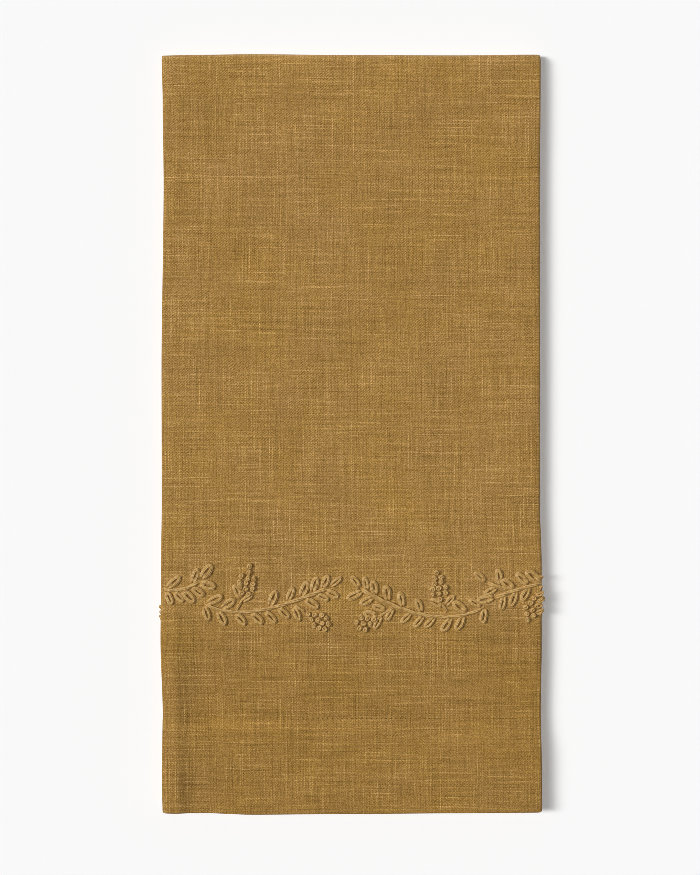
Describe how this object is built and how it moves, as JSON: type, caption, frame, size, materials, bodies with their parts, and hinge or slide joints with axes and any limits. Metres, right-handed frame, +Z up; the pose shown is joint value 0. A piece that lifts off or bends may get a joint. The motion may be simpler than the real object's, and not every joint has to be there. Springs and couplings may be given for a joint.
{
  "type": "folded linen towel",
  "caption": "Folded linen towel with hemmed ends and an embroidered vine border, folded in three and then in half, lying flat with its border up.",
  "frame": {"origin": "middle of the folded towel's footprint, on the surface it lies on", "axes": "+X across the towel to the right side fold, +Y along it from the hems to the half fold, +Z up out of the bordered face"},
  "size_m": [0.1638, 0.3268, 0.0128],
  "materials": {
    "linen": "plain-woven ochre linen with slubs, matt",
    "embroidery_thread": "twisted stranded thread, a little lighter than the cloth, soft sheen"
  },
  "bodies": {
    "root": {"towel": "linen"}
  },
  "joints": []
}
